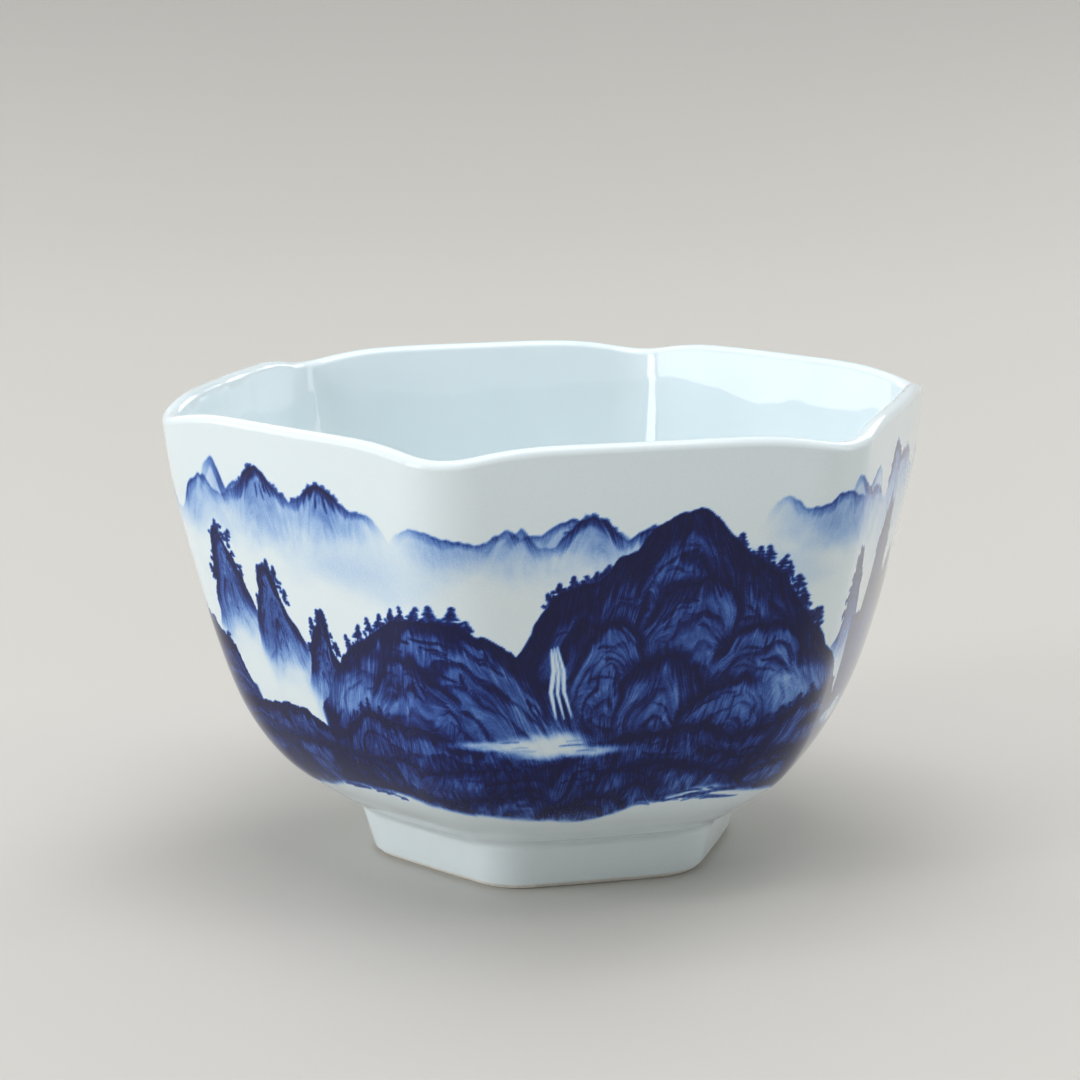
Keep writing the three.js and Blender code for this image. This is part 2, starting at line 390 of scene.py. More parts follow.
def make_pieces():
    bowl = body("porcelain_bowl", clay[WALL_START:], recess_clay[:ROOF_EDGE + 1])
    slip = body("slip_seam", recess_clay[ROOF_EDGE:RECESS_FOOT + 1],
                clay[len(foot) - 1:WALL_START + 1])
    ring = body("foot_rim", recess_clay[RECESS_FOOT:], bare_rim(), clay[:len(foot)])
    outer = coat("outer_coat", skin, 0, CREST + 1, 8, FINE)
    inner = coat("inner_coat", skin, CREST, len(skin), 3, MEDIUM)
    base = coat("base_coat", recess_skin, 0, len(recess_skin), 1, MEDIUM)
    return bowl, slip, ring, outer, inner, base


# ---------------------------------------------------------------------------------------------
# Painting. The canvas is the outside wall unrolled, in mm: x runs round the lip, from the corner
# between the front and the left panel, and y up the wall. Ink is 0 on bare white and 1 at its
# darkest. Later shapes cover earlier ones. The landscape is a generic one: nothing in it is a copy.
# PANEL is one panel with one corner, and WALL_LENGTH is the wall from its foot to the lip. FAN is how
# far brush lines turn aside on a slope, and GRAIN is the width of a brush line.

PANEL_ARC = 36
PANEL = LIP_CORNER / MM * (math.pi / 3 - 2 * PANEL_BOW) + PANEL_ARC
WALL_LENGTH = 58.4
FAN = 0.6
GRAIN = 0.55


def lattice(i, j, seed):
    """A random number from 0 to 1 for each whole i and j."""
    h = i.astype(np.int64) * 374761393 + j.astype(np.int64) * 668265263 + seed * 974634777
    h = h & 0xFFFFFFFF
    h = ((h ^ (h >> 13)) * 1274126177) & 0xFFFFFFFF
    return ((h ^ (h >> 16)) & 0xFFFFFF) / 0xFFFFFF


def noise(u, v, seed=0):
    """Smooth noise from 0 to 1 with cells of one unit."""
    u, v = np.broadcast_arrays(np.asarray(u, float), np.asarray(v, float))
    i, j = np.floor(u), np.floor(v)
    a, b = u - i, v - j
    a, b = a * a * (3 - 2 * a), b * b * (3 - 2 * b)
    low = lattice(i, j, seed) * (1 - a) + lattice(i + 1, j, seed) * a
    high = lattice(i, j + 1, seed) * (1 - a) + lattice(i + 1, j + 1, seed) * a
    return low * (1 - b) + high * b


def rough(u, v, seed=0, octaves=3):
    """Noise with finer noise on it, from 0 to 1."""
    total = sum(noise(u * 2**k, v * 2**k, seed + k) / 2**k for k in range(octaves))
    return total / sum(1 / 2**k for k in range(octaves))


def through(points, x):
    """A smooth curve y(x) through given points: cubic, with no overshoot at the peaks."""
    px, py = np.array(points, float).T
    slope = np.diff(py) / np.diff(px)
    middle = np.where(slope[:-1] * slope[1:] > 0,
                      2 * slope[:-1] * slope[1:] / (slope[:-1] + slope[1:] + 1e-12), 0)
    tangent = np.concatenate([slope[:1], middle, slope[-1:]])
    k = np.clip(np.searchsorted(px, x) - 1, 0, len(px) - 2)
    width = px[k + 1] - px[k]
    t = np.clip((x - px[k]) / width, 0, 1)
    return ((2 * t**3 - 3 * t**2 + 1) * py[k] + (t**3 - 2 * t**2 + t) * width * tangent[k]
            + (3 * t**2 - 2 * t**3) * py[k + 1] + (t**3 - t**2) * width * tangent[k + 1])


class Canvas:
    def __init__(self, columns, rows, around, height):
        self.ink = np.zeros((rows, columns))
        self.flow = np.zeros((rows, columns, 2))
        self.height = height
        self.dx, self.dy = around / columns, height / (rows - 1)

    def window(self, x0, x1, y0, y1):
        """The rows, the columns (which wrap round) and the x and y of a part of the canvas."""
        i = np.arange(math.floor(x0 / self.dx), math.ceil(x1 / self.dx) + 1)
        j = np.arange(max(0, math.floor(y0 / self.dy)),
                      min(len(self.ink) - 1, math.ceil(y1 / self.dy)) + 1)
        at = np.ix_(j, i % self.ink.shape[1])
        return at, (i * self.dx)[None, :], (j * self.dy)[:, None]

    def cover(self, at, alpha, ink):
        self.ink[at] += (ink - self.ink[at]) * alpha

    def darken(self, at, alpha, ink):
        self.ink[at] += np.maximum(ink - self.ink[at], 0) * alpha

    def stroke(self, points, width, ink, dark=True, soft=0.16):
        """A brush stroke through points, thick in the middle and thin at both ends."""
        points = np.asarray(points, float)
        edge = width + soft
        (x0, y0), (x1, y1) = points.min(0) - edge, points.max(0) + edge
        if y1 < 0 or y0 > self.height:
            return
        at, x, y = self.window(x0, x1, y0, y1)
        gap_to_ink = np.full(np.broadcast_shapes(x.shape, y.shape), 1e9)
        count = len(points) - 1
        for n, (a, b) in enumerate(zip(points, points[1:], strict=False)):
            d = b - a
            t = np.clip(((x - a[0]) * d[0] + (y - a[1]) * d[1]) / max(d @ d, 1e-9), 0, 1)
            gap = np.hypot(x - a[0] - t * d[0], y - a[1] - t * d[1])
            share = (n + t) / count
            taper = np.sqrt(np.maximum(4 * share * (1 - share), 0.02))
            gap_to_ink = np.minimum(gap_to_ink, gap - width / 2 * taper)
        alpha = 1 - smoothstep(gap_to_ink, -soft / 2, soft)
        (self.darken if dark else self.cover)(at, alpha, ink)


class Hill:
    """One hill or rock: all that lies under a ridge line, down to where it dissolves in mist (its
    foot) or runs into the darker rock behind it (its merge)."""

    def __init__(self, ridge, crest=0.95, body=0.6, reach=3.0, foot=None, merge=None, jag=0.6,
                 line=0.3, hatch=0.3, fold=3.2, halo=0.0, soft=0.14, seed=1,
                 ends=1.2, blot=0.1, warp=1.0, strokes=0.0, arcs=0.0, lit=0.1, fringe=1.0,
                 haze=0.0, cap=None):
        self.ridge, self.crest, self.body, self.reach = ridge, crest, body, reach
        self.foot, self.merge, self.jag, self.line, self.hatch = foot, merge, jag, line, hatch
        self.fold, self.halo, self.soft = fold, halo, soft
        self.seed, self.ends, self.blot, self.warp = seed, ends, blot, warp
        self.strokes, self.arcs, self.lit, self.fringe = strokes, arcs, lit, fringe
        self.haze, self.cap = haze, cap

    def height(self, x, wander=0.0):
        """The ridge's height: uneven, with small steps and knobs in it."""
        knobs = rough(x / 2.4, 0.5, self.seed, 4) - 0.5
        steps = np.abs(noise(x / 1.1, 7.5, self.seed + 5) - 0.5)
        return through(self.ridge, x + wander) + self.jag * (2 * knobs + 0.6 * steps)

    def paint(self, canvas):
        xs, ys = [p[0] for p in self.ridge], [p[1] for p in self.ridge]
        floor = (self.foot or self.merge or (0, 0))[0] - 3
        at, x, y = canvas.window(xs[0], xs[-1], floor, max(ys) + 5)
        wander = self.warp * 2.4 * (rough(y / 5 + 9, x / 9, self.seed + 70) - 0.5)
        ridge = self.height(x, wander)
        slope = np.gradient(through(self.ridge, x[0]), canvas.dx)
        slope = np.clip(np.convolve(slope, np.ones(5) / 5, "same"), -1.8, 1.8)[None, :]
        steep = np.sqrt(1 + slope**2)
        depth = (ridge - y) / steep
        blot = rough(x / 3.4, y / 3.4, self.seed + 50) - 0.5
        ends = smoothstep(x, xs[0], xs[0] + self.ends)
        ends = ends * (1 - smoothstep(x, xs[-1] - self.ends, xs[-1]))
        if self.merge:
            ends = ends * smoothstep(y + 4 * blot, *self.merge)
        if self.halo:
            shade = (1 - smoothstep(-depth, 0, 2.2)) ** 2 * (0.7 + 0.6 * noise(x / 3, y / 3, self.seed))
            shade = shade * self.halo * ends * smoothstep(canvas.ink[at], 0.1, 0.5) * (depth < 0.4)
            canvas.darken(at, np.clip(shade, 0, 1), 1.0)
        below = smoothstep(depth, -self.soft, self.soft)
        fall = np.minimum(depth * steep, 14)
        across = x + FAN * slope * fall * 0.75
        bend = (rough(x / 4, y / 4, self.seed + 20) - 0.5) * 3.4
        broad = noise(across / (GRAIN * 3) + bend * 0.5, depth / 5, self.seed + 60)
        lines = noise(across / GRAIN + bend, depth / 2.4 + self.seed, self.seed + 30)
        fine = noise(across / (GRAIN * 0.5) + bend * 2, depth / 1.4, self.seed + 40)
        fibres = 0.4 * broad + 0.38 * smoothstep(lines, 0.25, 0.75) + 0.22 * fine - 0.5
        inside = np.maximum(depth, 0)
        swell = rough(x / 7, y / 7, self.seed + 80, 2) - 0.5
        level = inside / self.fold + 2.6 * swell * smoothstep(inside, 0.5, 4)
        number = np.floor(level)
        comb = noise(across / 0.55 + 3 * number, depth / 5, self.seed + 90)
        broad_comb = noise(across / 1.9, number, self.seed + 95)
        length = 0.08 + self.fringe * (0.3 * comb + 0.5 * broad_comb**2)
        below_crease = (level - number) * self.fold
        crease = 1 - smoothstep(level - number, 0.4 * length, 1.25 * length)
        crease = crease * smoothstep(below_crease, 0, 0.3) * (self.fringe > 0)
        depth_of_crease = np.where(number < 1, 1, 0.35 + 0.65 * noise(x / 4 + 5, number, self.seed))
        crest = 1 - smoothstep(inside, 0.5 * self.reach * (0.5 + comb), self.reach * (0.6 + comb))
        dark = np.maximum(crest, crease * depth_of_crease)
        near_top = smoothstep(ridge, max(ys) - self.cap, max(ys) - 0.2 * self.cap) if self.cap else 1
        dark = dark * near_top
        tone = self.body * (0.7 + 0.3 * near_top) + (self.crest - self.body) * dark
        tone = tone + self.hatch * fibres * smoothstep(inside, 0.2, 2) + self.blot * 2 * blot
        outlined = np.exp(-((depth / 0.38) ** 2)) * (0.5 + noise(x / 1.7, 3, self.seed))
        tone = tone + self.line * outlined * (0.25 + 0.75 * near_top)
        top = xs[int(np.argmax(ys))]
        side = np.clip((x - top) / (0.5 * (xs[-1] - xs[0])), -1, 1)
        tone = tone - self.lit * side * smoothstep(inside, 0.5, 3)
        tone = np.clip(tone, 0.02, 1.06)
        alpha = below * ends
        if self.foot:
            low, high = self.foot
            fade = smoothstep(y + 4 * blot, low, high)
            tone = self.haze + (tone - self.haze) * fade
            alpha = alpha * smoothstep(y + 3 * blot, low - 2, low + 2.5)
        canvas.cover(at, alpha, tone)
        new = np.stack([across + 0 * y, inside], axis=2)
        canvas.flow[at] = np.where((alpha > 0.5)[:, :, None], new, canvas.flow[at])
        self.draw(canvas)

    def draw(self, canvas):
        """Single brush strokes on the hill: down its slope, and along it in nested arcs."""
        rng = np.random.default_rng(self.seed)
        x0, x1 = self.ridge[0][0] + self.ends, self.ridge[-1][0] - self.ends
        low = (self.foot or self.merge or (0, 0))[1]
        sites = rng.uniform(x0, x1, int(self.strokes * (x1 - x0)))
        tops = self.height(sites)
        slopes = np.clip((self.height(sites + 1) - self.height(sites - 1)) / 2, -1.4, 1.4)
        for x, top, slope in zip(sites, tops, slopes, strict=True):
            y = top - rng.uniform(0.15, 1) ** 1.6 * (top - low)
            length, curl = rng.uniform(0.8, 2.6), rng.uniform(-0.3, 0.3)
            if top < low + 1:
                continue
            path = [(x - slope * FAN * t * length * 0.8 + curl * t * (1 - t) * length,
                     y - t * length) for t in (0, 0.35, 0.7, 1)]
            canvas.stroke(path, rng.uniform(0.14, 0.3), rng.uniform(0.82, 1) * self.crest, soft=0.18)
        sites = rng.uniform(x0, x1, int(self.arcs * (x1 - x0)))
        t = np.linspace(-1, 1, 7)
        for x in sites:
            down, half = rng.uniform(0.5, 7.5), rng.uniform(0.8, 2.4)
            line = self.height(x + half * t) - down * (1 + 0.1 * t)
            if line.min() > low:
                canvas.stroke(np.column_stack([x + half * t, line]), rng.uniform(0.16, 0.36),
                              rng.uniform(0.85, 1) * self.crest, soft=0.18)


def peak(x, y, wide, high, rng):
    """The ridge of an uneven peak with its top at x, y."""
    shape = [(-1, 1), (-0.72, 0.72), (-0.46, 0.36), (-0.2, 0.1), (0, 0), (0.22, 0.13), (0.45, 0.42),
             (0.74, 0.68), (1, 1)]
    return [(x + wide * (a + rng.uniform(-0.07, 0.07) * (0 < abs(a) < 1)),
             y - high * (b + rng.uniform(-0.1, 0.1) * (0 < abs(a) < 1))) for a, b in shape]


def dome(x, y, wide, high, lean=0.0, square=2.4):
    """The ridge of a round-topped rock: a superellipse with its top at x, y."""
    return [(x + wide * t, y - high * (1 - (1 - abs(t) ** square) ** 0.6) + lean * t)
            for t in np.linspace(-1, 1, 13)]


def chain(x0, x1, y, high, rng):
    """The ridge of a range of uneven summits and saddles from x0 to x1, highest near y."""
    points, x, drop = [(x0, y - high)], x0 + rng.uniform(3, 5), 0.0
    while x < x1 - 3:
        drop = rng.uniform(0, 0.55) if len(points) % 2 else drop + rng.uniform(0.2, 0.45)
        points.append((x, y - high * drop))
        x += rng.uniform(2.2, 6.8)
    return [*points, (x1, y - high)]


def boulders(canvas, points, rng, wide=(3, 6), high=(4, 7), depth=9, **look):
    """Overlapping round rocks, the highest first. points are where their tops lie."""
    for x, y in sorted(points, key=lambda p: -p[1]):
        ridge = dome(x, y, rng.uniform(*wide), rng.uniform(*high), rng.uniform(-1.2, 1.2),
                     rng.uniform(1.9, 3.0))
        style = dict(crest=rng.uniform(0.8, 1.0), body=rng.uniform(0.5, 0.8), reach=1.6, jag=0.5,
                     hatch=0.36, halo=0.8, merge=(y - depth, y - depth / 2), strokes=1, arcs=1,
                     seed=int(rng.integers(1000)))
        Hill(ridge, **{**style, **look}).paint(canvas)


def pine(canvas, x, y, tall, rng, ink=0.95):
    """A small pine: a leaning trunk with flat clumps of needles."""
    lean = rng.uniform(-0.25, 0.35) * tall
    canvas.stroke([(x, y - 0.3), (x + lean * 0.3, y + tall * 0.5), (x + lean, y + tall)], 0.22, ink)
    for level in np.linspace(0.4, 1.0, max(3, int(tall / 0.5))):
        half = (1.2 - level) * rng.uniform(0.45, 0.8) * tall * 0.5 + 0.16
        cx = x + lean * level + rng.uniform(-0.12, 0.12)
        cy = y + tall * level
        droop = rng.uniform(0.0, 0.25)
        canvas.stroke([(cx - half, cy - droop), (cx, cy + 0.06), (cx + half, cy - droop)],
                      rng.uniform(0.24, 0.4), ink * rng.uniform(0.85, 1.0), soft=0.2)


def grove(canvas, hill, x0, x1, count, rng, tall=(1.2, 2.4), ink=0.95):
    """Pines and scrub along a hill's ridge."""
    sites = np.linspace(x0, x1, count) + rng.uniform(-0.5, 0.5, count)
    for x, y in zip(sites, hill.height(sites), strict=True):
        pine(canvas, x, y - 0.2, rng.uniform(*tall), rng, ink)
    sites = np.linspace(x0, x1, 3 * count)
    scrub(canvas, zip(sites, hill.height(sites) - 0.1, strict=True), rng, ink=ink)


def scrub(canvas, points, rng, size=0.42, spread=0.3, ink=0.95):
    """Dabs of the brush in loose clumps."""
    for x, y in points:
        for _ in range(3):
            cx, cy = x + rng.normal(0, spread), y + abs(rng.normal(0, spread))
            tilt, half = rng.uniform(-0.2, 0.2), rng.uniform(0.08, 0.28)
            canvas.stroke([(cx - half, cy - tilt), (cx + half, cy + tilt)],
                          size * rng.uniform(0.6, 1.1), ink * rng.uniform(0.8, 1.0), soft=0.22)


def waterfall(canvas, points, width, strands, rng):
    """White strands that fall and widen, with dark rock left between them."""
    points = np.array(points, float)
    for n in np.linspace(-1, 1, strands):
        spread = np.linspace(0.35, 1.0, len(points)) * width / 2 * n
        path = points + np.column_stack([spread, rng.uniform(-0.2, 0.2, len(points))])
        canvas.stroke(path, width / strands * rng.uniform(0.6, 0.9), 0.03, dark=False, soft=0.25)


def mist(canvas, x, y, wide, high, strength=1.0, seed=1):
    """A soft white bank with a ragged edge."""
    at, gx, gy = canvas.window(x - 1.6 * wide, x + 1.6 * wide, y - 1.6 * high, y + 1.6 * high)
    r = np.hypot((gx - x) / wide, (gy - y) / high) + 0.7 * (rough(gx / 4, gy / 3, seed) - 0.5)
    canvas.cover(at, strength * (1 - smoothstep(r, 0.35, 1.15)), 0.0)


def wash(canvas, x, y, wide, high, ink, seed=1):
    """A soft pale blue cloud of colour."""
    at, gx, gy = canvas.window(x - 1.6 * wide, x + 1.6 * wide, y - 1.6 * high, y + 1.6 * high)
    r = np.hypot((gx - x) / wide, (gy - y) / high) + 0.6 * (rough(gx / 6, gy / 4, seed) - 0.5)
    canvas.darken(at, 1 - smoothstep(r, 0.1, 1.1), ink)


def lake(canvas, x, y, wide, high, rng):
    """Still water: a pale, level opening with a few thin ripples on it."""
    mist(canvas, x, y, wide, high, 0.95, int(10 * x))
    mist(canvas, x + 0.7 * wide, y - 0.4 * high, 0.7 * wide, 0.5 * high, 0.8, int(10 * x) + 1)
    mist(canvas, x - 0.8 * wide, y + 0.2 * high, 0.6 * wide, 0.4 * high, 0.7, int(10 * x) + 2)
    for _ in range(int(wide * high / 3)):
        cx, cy = x + rng.uniform(-0.7, 0.7) * wide, y + rng.uniform(-0.5, 0.5) * high
        half = rng.uniform(0.8, 2.6)
        canvas.stroke([(cx - half, cy), (cx, cy + 0.12), (cx + half, cy)], 0.16,
                      rng.uniform(0.2, 0.45), soft=0.2)


def shore(canvas, x0, x1, y0, y1, count, rng, ink=(0.6, 0.95), long=(1.5, 5)):
    """Flat banks and reeds: long level strokes, close together."""
    for _ in range(count):
        x, y, half = rng.uniform(x0, x1), rng.uniform(y0, y1), rng.uniform(*long) / 2
        t = np.linspace(-1, 1, 5)
        path = np.column_stack([x + half * t, y + 0.35 * np.cos(1.4 * t + rng.uniform(-1, 1))])
        canvas.stroke(path, rng.uniform(0.2, 0.55), rng.uniform(*ink), soft=0.25)


def lower_edge(canvas, edge):
    """Nothing is painted below the curve edge(x), which is soft and uneven."""
    at, x, y = canvas.window(0, canvas.dx * (canvas.ink.shape[1] - 1), 0, canvas.height)
    line = through(edge, x) + 1.1 * (rough(x / 5, y / 3, 301) - 0.5)
    canvas.ink[at] *= smoothstep(y - line, -0.7, 1.1)


# Looks. FAR hills are pale, with dark only near their summits. ROCK stands in the mist. CLIFF is the
# dark mass of a mountain, and LOBE a rounded part of one.
FAR = dict(crest=0.55, body=0.33, reach=1.3, jag=1.1, line=0.3, hatch=0.06, blot=0.05, soft=0.2,
           warp=0.3, strokes=0.6, ends=3, lit=0, fringe=0, cap=6)
ROCK = dict(crest=0.98, body=0.6, reach=1.8, fold=2.6, jag=0.8, line=0.2, hatch=0.3, blot=0.05,
            strokes=0.6, arcs=0.4, haze=0.05, ends=2.2)
CLIFF = dict(crest=1.03, body=0.68, reach=2.4, fold=4, jag=0.9, hatch=0.24, strokes=1, arcs=0.8)
LOBE = dict(crest=0.98, body=0.6, reach=1.1, fold=3.2, jag=0.7, hatch=0.22, halo=0.95, strokes=1.5,
            arcs=1, lit=0.1, blot=0.06, warp=2)


def hill(canvas, ridge, look, **more):
    made = Hill(ridge, **{**look, **more})
    made.paint(canvas)
    return made


def paint_far_peaks(c, rng):
    """Pale ranges that fade downwards into mist, all the way round, the farthest first."""
    for x0, x1, y in ((-60, -22, 53.2), (-8, 26, 52.6), (34, 60, 53.6), (72, 104, 53),
                      (116, 150, 53.4), (166, 198, 52.8)):
        hill(c, chain(x0, x1, y, 7, rng), FAR, seed=int(x0) + 80, foot=(y - 11, y - 3),
             crest=0.42, body=0.24, cap=4, ends=9)
    for x0, x1, y in ((-40, -4, 54.8), (4, 34, 54), (44, 84, 54.6), (92, 130, 54.4),
                      (138, 176, 54.8), (186, 222, 54.2)):
        near = hill(c, chain(x0, x1, y, 9, rng), FAR, seed=int(x0) + 60, foot=(y - 13, y - 3),
                    crest=0.85, body=0.33, cap=5.5, ends=9, strokes=2.4, arcs=0.5, hatch=0.2)
        sites = rng.uniform(x0 + 9, x1 - 9, int(1.6 * (x1 - x0 - 18)))
        tops = near.height(sites)
        scrub(c, [(sx, sy - 0.1) for sx, sy in zip(sites, tops, strict=True) if sy > y - 5], rng,
              0.26, 0.16, 0.7)
    for x, y, wide in ((-12, 43, 14), (33, 42, 16), (66, 43, 14), (116, 42, 16), (196, 43, 16)):
        wash(c, x, y, wide, 5, 0.12, wide)


def paint_crags(c, rng):
    """Steep rocks that stand in the mist, with pines on them."""
    for x, y, wide, high in ((-37, 45, 6, 15), (-28.5, 40.5, 6, 13), (-20, 36, 5.5, 11),
                             (53, 43, 6, 14), (90, 42, 6, 14), (99, 37, 6, 12), (128, 40, 6, 13),
                             (121, 35, 6, 11), (177, 41, 6, 13), (186, 36, 7, 11),
                             (212, 43, 6, 14), (204, 37, 6, 12)):
        rock = hill(c, peak(x, y, wide, high, rng), ROCK, seed=int(x) + 60, foot=(y - 16, y - 7))
        grove(c, rock, x - 0.5 * wide, x + 0.4 * wide, 5, rng, (0.8, 1.8))


def paint_mountains(c, rng):
    """The dark mountains in front of the mist, built up from rounded lobes."""
    main = hill(c, [(-2, 22), (6, 33), (12, 41), (17, 43.5), (20.5, 46), (24, 50), (28, 51.2),
                    (31.5, 48.6), (35, 44.4), (39, 42.6), (44, 36), (56, 22)], CLIFF, seed=120,
                body=0.68, reach=4)
    grove(c, main, 11, 18, 5, rng, (0.9, 1.6))
    grove(c, main, 34, 45, 9, rng, (1.4, 2.6))
    shoulder = hill(c, [(-24, 22), (-17, 30), (-10, 35.5), (-4, 38), (1, 37.4), (6, 34), (12, 28),
                        (17, 22)], CLIFF, seed=121, halo=0.4, body=0.6, reach=2.4)
    grove(c, shoulder, -15, 2, 10, rng, (1.4, 2.6))
    for x, y, wide, high in ((68, 46, 11, 21), (79, 38, 11, 14), (146, 45, 11, 20),
                             (154, 49, 12, 24), (164, 42, 12, 18), (223, 41.5, 11, 18)):
        mass = hill(c, peak(x, y, wide, high, rng), CLIFF, seed=int(x), halo=0.3, body=0.72)
        grove(c, mass, x - 0.4 * wide, x + 0.8 * wide, 9, rng, (0.9, 2.0))
    for x, y, wide, high in ((29, 42.5, 7, 12), (18.5, 37.5, 6, 10), (38, 36, 6.5, 9),
                             (26, 33, 7.5, 10), (-6, 32.5, 7, 9), (34.5, 28.5, 7, 8),
                             (61, 33, 6, 9), (71, 34, 7, 9), (80, 28, 8, 8), (148, 36, 6, 10),
                             (157, 38, 7, 12), (165, 31, 7, 8), (142, 29, 7, 8), (221, 32.5, 7, 9),
                             (229, 28.5, 6, 8)):
        ridge = dome(x, y, wide, high, rng.uniform(-3, 3), rng.uniform(1.5, 2.8))
        hill(c, ridge, LOBE, seed=int(x) + 300, merge=(y - 15, y - 9), body=rng.uniform(0.5, 0.72),
             jag=rng.uniform(0.7, 1.4))
    for x, y, wide in ((-15, 25.5, 8), (44, 27, 7), (86, 24.5, 7), (133, 27, 8), (171, 25.5, 7)):
        mist(c, x, y, 1.5 * wide, 3.4, 0.42, int(x) + 40)
    waterfall(c, [(11.4, 34.5), (11.8, 31.5), (11.5, 28.5), (12.2, 25)], 2.2, 3, rng)
    waterfall(c, [(208.5, 35), (209, 32), (209.6, 29), (210.5, 26)], 2.4, 3, rng)


def paint_banks(c, rng):
    """The nearest slopes, with boulders, still water between them and reeds at the edge."""
    for start, end, top in ((-62, 20, 22), (6, 72, 23), (58, 106, 20), (102, 184, 24),
                            (176, 226, 22)):
        middle = (start + end) / 2
        slope = hill(c, [(start, top - 9), (start + 8, top - 3), (middle - 8, top), (middle, top - 2),
                         (middle + 8, top + 2), (end - 8, top - 4), (end, top - 10)], CLIFF,
                     seed=int(start) + 90, body=0.68, reach=1.8, halo=0.4, ends=6)
        grove(c, slope, middle, middle + 14, 8, rng, (0.9, 1.8))
        count = int((end - start) / 2)
        sites = zip(rng.uniform(start + 4, end - 4, count), rng.uniform(10, top - 4, count),
                    strict=True)
        boulders(c, list(sites), rng, wide=(3, 8), high=(3, 5), depth=6, body=0.66)
    for x, y, wide, high in ((10, 21, 9, 2.4), (62, 19, 8, 2.2), (102, 17, 9, 2.2),
                             (180, 19, 9, 2.4)):
        lake(c, x, y, wide, high, rng)
        shore(c, x - wide, x + wide, y - high - 2.4, y - high + 0.4, int(3 * wide), rng)


def paint(columns, rows):
    canvas = Canvas(columns, rows, 6 * PANEL, WALL_LENGTH)
    rng = np.random.default_rng(7)
    paint_far_peaks(canvas, rng)
    paint_crags(canvas, rng)
    paint_mountains(canvas, rng)
    paint_banks(canvas, rng)
    lower_edge(canvas, [(0, 9), (14, 7), (27, 10.5), (38, 12.4), (50, 9), (66, 8), (82, 10.5),
                        (98, 8), (118, 9.6), (137, 7), (160, 8.4), (182, 11), (198, 8),
                        (214, 10.4), (232, 7.4), (248, 10.6), (262, 11), (6 * PANEL, 9)])
    for start in (24, 84, 176, 240):
        shore(canvas, start, start + 22, 9.6, 12.4, 26, rng, (0.4, 0.8), (2, 6))
    return canvas


# ---------------------------------------------------------------------------------------------
# Materials

# The roll of glaze inside the lip: its lower edge's middle height, and the slope above that edge.
ROLL_EDGE = HEIGHT - 5.6 * MM
ROLL_LEAN = 0.13

# The painting's colours, as (ink, sRGB colour): bare glaze, thin wash, to piled-up cobalt.
COBALT = [(0.0, (225, 236, 240)), (0.08, (201, 221, 238)), (0.2, (158, 190, 230)),
          (0.36, (100, 139, 203)), (0.52, (57, 93, 168)), (0.68, (29, 57, 130)),
          (0.82, (9, 29, 98)), (0.94, (2, 13, 76)), (1.05, (0, 6, 62))]


def linear(colour):
    """The linear colour of an sRGB colour from 0 to 255."""
    parts = [c / 255 for c in colour]
    return (*(c / 12.92 if c <= 0.04045 else ((c + 0.055) / 1.055) ** 2.4 for c in parts), 1.0)


class Nodes:
    """Adds nodes to a material and links them."""

    def __init__(self, name):
        self.material = bpy.data.materials.new(name)
        self.material.use_nodes = True
        self.tree = self.material.node_tree
        self.shader = self.tree.nodes["Principled BSDF"]

    def add(self, kind, inputs=None, **settings):
        node = self.tree.nodes.new(kind)
        for key, value in settings.items():
            setattr(node, key, value)
        for key, value in (inputs or {}).items():
            if isinstance(value, bpy.types.NodeSocket):
                self.tree.links.new(value, node.inputs[key])
            else:
                node.inputs[key].default_value = value
        return node

    def noise(self, scale, detail=2.0, roughness=0.5, vector=None):
        node = self.add("ShaderNodeTexNoise", {"Scale": scale, "Detail": detail,
                                               "Roughness": roughness})
        self.tree.links.new(vector or self.position(), node.inputs["Vector"])
        return node.outputs["Fac"]

    def attribute(self, name):
        return self.add("ShaderNodeAttribute", attribute_name=name).outputs["Fac"]

    def position(self):
        return self.add("ShaderNodeTexCoord").outputs["Object"]

    def math(self, operation, a, b=0.0, c=0.0, clamp=False):
        node = self.add("ShaderNodeMath", {0: a, 1: b, 2: c}, operation=operation, use_clamp=clamp)
        return node.outputs[0]

    def ramp(self, factor, stops):
        node = self.add("ShaderNodeValToRGB", {"Fac": factor})
        ramp = node.color_ramp
        while len(ramp.elements) < len(stops):
            ramp.elements.new(0.5)
        for element, (at, colour) in zip(ramp.elements, stops, strict=True):
            element.position, element.color = at, colour
        return node.outputs["Color"]

    def set(self, **inputs):
        for key, value in inputs.items():
            socket = self.shader.inputs[key.replace("_", " ")]
            if isinstance(value, bpy.types.NodeSocket):
                self.tree.links.new(value, socket)
            else:
                socket.default_value = value

    def bump(self, height, strength, distance):
        node = self.add("ShaderNodeBump", {"Height": height, "Strength": strength,
                                           "Distance": distance})
        self.tree.links.new(node.outputs["Normal"], self.shader.inputs["Normal"])


def glaze_roll(n):
    """Inside the lip the glaze has run down and stopped in a wavy roll: the surface leans back above
    the roll's lower edge."""
    z = n.add("ShaderNodeSeparateXYZ", {"Vector": n.position()}).outputs["Z"]
    edge = n.math("MULTIPLY_ADD", n.noise(75, 2), 6 * MM, ROLL_EDGE - 3 * MM)
    above = n.math("SMOOTH_MAX", n.math("SUBTRACT", z, edge), 0, 0.6 * MM)
    return n.math("MULTIPLY", above, -ROLL_LEAN)


